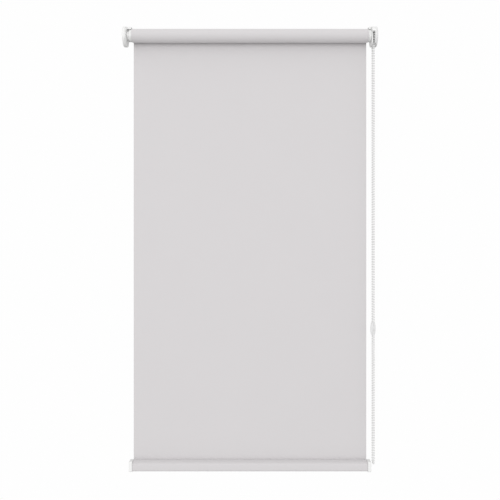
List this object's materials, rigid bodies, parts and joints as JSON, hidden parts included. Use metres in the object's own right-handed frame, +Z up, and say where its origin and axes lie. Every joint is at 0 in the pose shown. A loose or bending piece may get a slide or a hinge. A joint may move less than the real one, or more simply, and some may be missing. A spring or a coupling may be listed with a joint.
{
  "type": "blackout roller blind",
  "caption": "Chain-operated blackout roller blind: cloth on a roller between two L-brackets, a weighted bottom bar, and a bead-chain clutch drive.",
  "frame": {"origin": "on the wall, at mid width, at the height of the roller's axis", "axes": "+X along the roller towards the chain, +Y into the wall, +Z up"},
  "size_m": [0.6072, 0.05, 1.0682],
  "materials": {
    "white_plastic": "satin white moulded plastic",
    "inner_plastic": "natural acetal",
    "connector_plastic": "polished white plastic",
    "blackout_cloth": "light grey coated polyester weave",
    "bead_chain": "white moulded beads on polyester cord",
    "tube_aluminium": "extruded",
    "adhesive_tape": "double-sided tape",
    "spring_steel": "drawn wire",
    "pin_steel": "turned, zinc plated"
  },
  "bodies": {
    "mount": {"idle_bracket": "white_plastic", "idle_cover": "white_plastic", "drive_bracket": "white_plastic", "drive_housing": "white_plastic", "drive_cover": "white_plastic", "drive_spindle": "inner_plastic", "spindle_clip": "spring_steel", "hanging_cloth": "blackout_cloth", "chain_over_wheel": "bead_chain", "chain_front_strand": "bead_chain", "chain_bottom_bend": "bead_chain", "chain_back_strand": "bead_chain"},
    "roller": {"roller_tube": "tube_aluminium", "fixing_tape": "adhesive_tape", "cloth_roll": "blackout_cloth", "idle_plug": "white_plastic", "idle_spring_cap": "inner_plastic", "idle_pin_spring": "spring_steel", "drive_plug": "white_plastic", "chain_wheel": "inner_plastic", "wrap_spring_1": "spring_steel", "wrap_spring_2": "spring_steel"},
    "idle_pin": {"idle_pin": "pin_steel"},
    "bottom_bar": {"bottom_rail": "tube_aluminium", "hem_pocket": "blackout_cloth", "rail_cap_left": "white_plastic", "rail_cap_right": "white_plastic"},
    "connector": {"connector_front_half": "connector_plastic", "connector_back_half": "connector_plastic"}
  },
  "joints": [
    {"name": "roller_turn", "type": "hinge", "parent": "mount", "child": "roller", "pos_m": [0, -0.0265, 0], "axis": [1, 0, 0], "range_deg": [0, 3441]},
    {"name": "blind_lift", "type": "slide", "parent": "mount", "child": "bottom_bar", "axis": [0, 0, 1], "range_m": [0, 0.986], "deforming": ["hanging_cloth"]},
    {"name": "connector_travel", "type": "slide", "parent": "mount", "child": "connector", "axis": [0, 0, 1], "range_m": [0, 0.575]},
    {"name": "idle_pin_slide", "type": "slide", "parent": "roller", "child": "idle_pin", "axis": [1, 0, 0], "range_m": [0, 0.0062], "stiffness_N_per_m": 300, "springref_m": -0.01, "deforming": ["idle_pin_spring"]}
  ],
  "couplings": [
    {"joint": "blind_lift", "follows": "roller_turn", "m_per_rad": 0.0164},
    {"joint": "connector_travel", "follows": "roller_turn", "m_per_rad": 0.009549}
  ]
}
